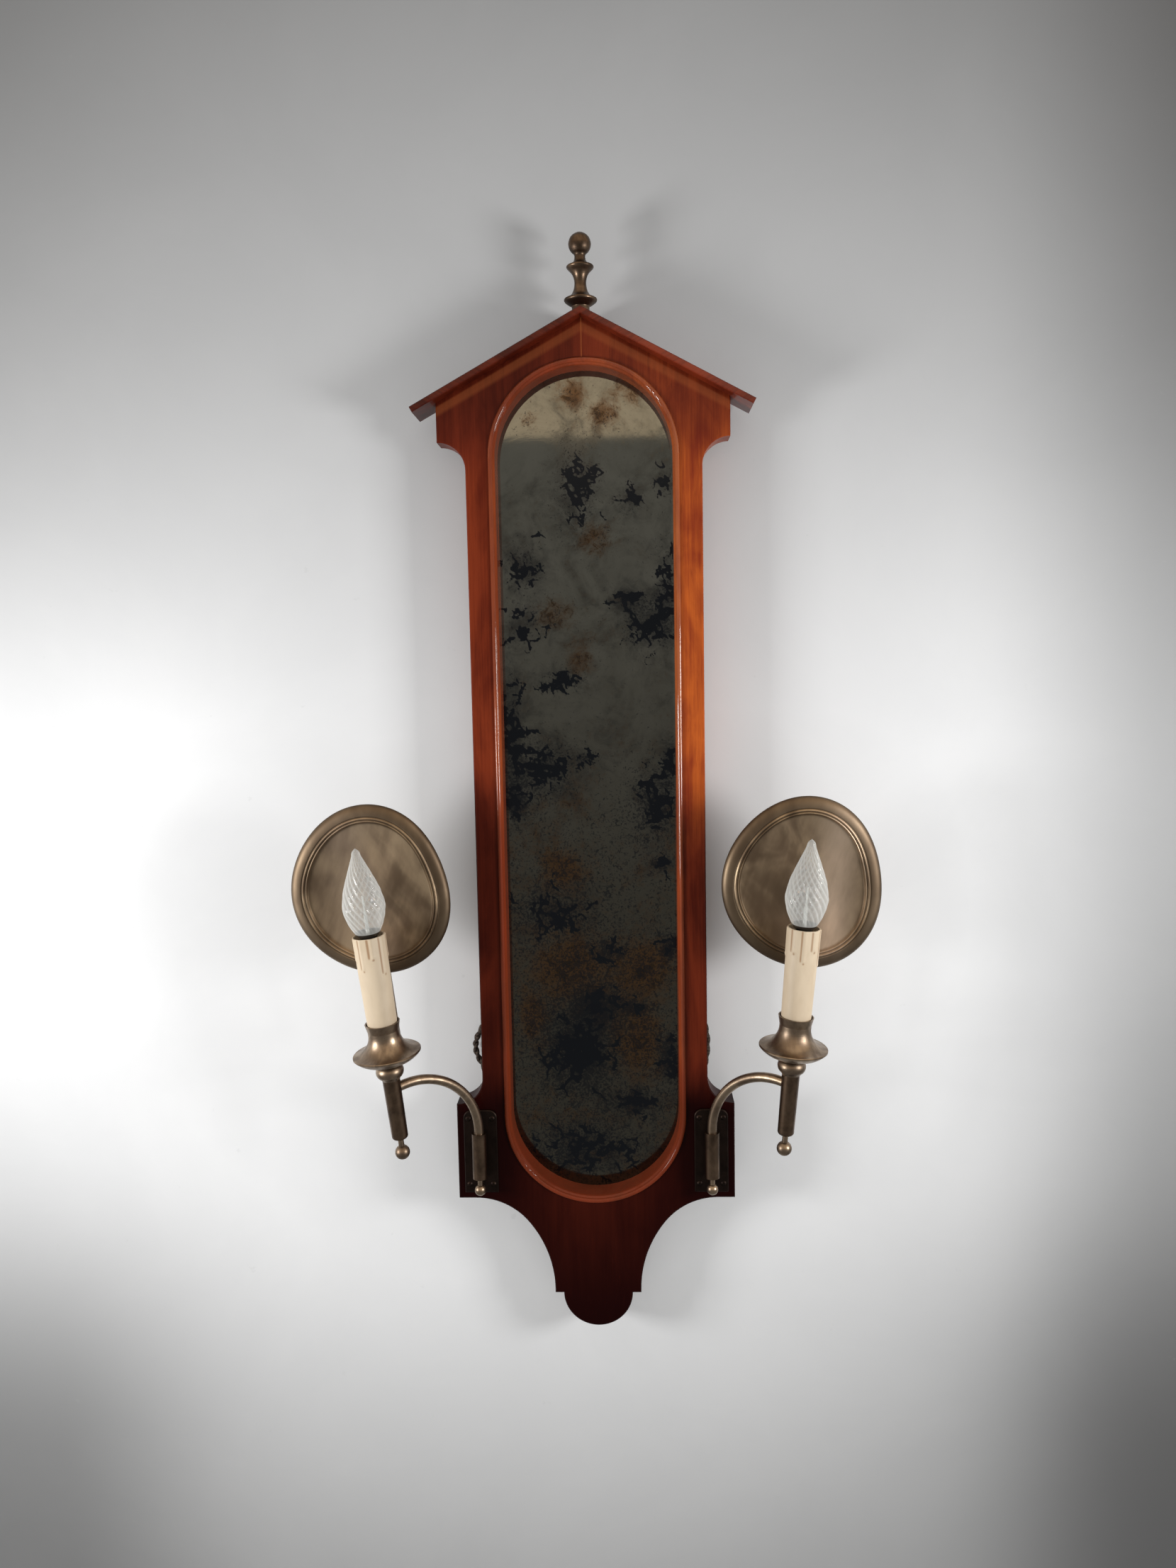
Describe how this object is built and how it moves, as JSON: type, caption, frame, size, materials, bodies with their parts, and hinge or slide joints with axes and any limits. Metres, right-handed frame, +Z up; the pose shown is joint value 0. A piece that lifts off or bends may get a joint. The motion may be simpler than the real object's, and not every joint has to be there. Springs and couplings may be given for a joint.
{
  "type": "girandole mirror",
  "caption": "Narrow wall mirror in a pitched-roof wooden frame, with swinging brass candle lamps at its foot, each with an oval reflector plate.",
  "frame": {"origin": "centre of the keyhole in the hanger plate, on its wall side", "axes": "+Z up, -Y out of the mirror's front into the room, +Y into the wall, +X to the viewer's right"},
  "size_m": [0.4872, 0.1253, 0.9374],
  "materials": {
    "mahogany": "glossy French polish over red-brown wood",
    "moulding": "polished, a bead on the front edge",
    "mirror": "old silvering, dark and spotted in the lower half",
    "backboard": "thin unpolished board",
    "steel": "plain, dull",
    "steel_plate": "plain, dull",
    "brass_turned": "aged, brown in the hollows",
    "dowel": "plain",
    "rubber": "matt",
    "block": "plain",
    "clip_brass": "dull",
    "brass_dark": "dark brown patina",
    "brass": "aged, brighter on the swells",
    "sheet_brass": "dark olive-brown patina, brighter bead",
    "sleeve_cream": "cream with brown streaks",
    "holder": "dark moulded",
    "cap_brass": "bright",
    "bulb_clear": "clear, fluted",
    "stem_clear": "clear",
    "flex_cloth": "twisted brown braid",
    "flex_core": "plain"
  },
  "bodies": {
    "frame": {"pediment_left": "mahogany", "pediment_right": "mahogany", "stile_left": "mahogany", "stile_right": "mahogany", "apron": "mahogany", "roof_board_left": "mahogany", "roof_board_right": "mahogany", "mirror_moulding": "moulding", "mirror_glass": "mirror", "backboard": "backboard", "backboard_pins": "steel", "hanger_screws": "steel", "finial": "brass_turned", "finial_dowel": "dowel", "hanger_plate": "steel_plate", "wall_bumpers": "rubber", "terminal_block": "block", "flex_clips": "clip_brass", "backplate_left": "brass_dark", "backplate_screws_left": "brass_dark", "socket_left": "brass", "socket_knob_left": "brass", "flex_left": "flex_cloth", "backplate_right": "brass_dark", "backplate_screws_right": "brass_dark", "socket_right": "brass", "socket_knob_right": "brass", "flex_right": "flex_cloth"},
    "arm_left_body": {"arm_left": "brass", "column_left": "brass", "column_ball_left": "brass", "collar_left": "brass", "cup_left": "brass", "candle_sleeve_left": "sleeve_cream", "nipple_left": "brass", "lampholder_left": "holder", "bulb_cap_left": "cap_brass", "bulb_glass_left": "bulb_clear", "bulb_mount_left": "stem_clear", "reflector_strap_left": "brass", "reflector_left": "sheet_brass", "reflector_rivets_left": "brass", "arm_flex_left": "flex_core"},
    "arm_right_body": {"arm_right": "brass", "column_right": "brass", "column_ball_right": "brass", "collar_right": "brass", "cup_right": "brass", "candle_sleeve_right": "sleeve_cream", "nipple_right": "brass", "lampholder_right": "holder", "bulb_cap_right": "cap_brass", "bulb_glass_right": "bulb_clear", "bulb_mount_right": "stem_clear", "reflector_strap_right": "brass", "reflector_right": "sheet_brass", "reflector_rivets_right": "brass", "arm_flex_right": "flex_core"}
  },
  "joints": [
    {"name": "arm_left_swing", "type": "hinge", "parent": "frame", "child": "arm_left_body", "pos_m": [-0.101, -0.04, -0.69], "axis": [0, 0, 1], "range_deg": [-25, 90]},
    {"name": "arm_right_swing", "type": "hinge", "parent": "frame", "child": "arm_right_body", "pos_m": [0.101, -0.04, -0.69], "axis": [0, 0, 1], "range_deg": [-90, 25]}
  ]
}
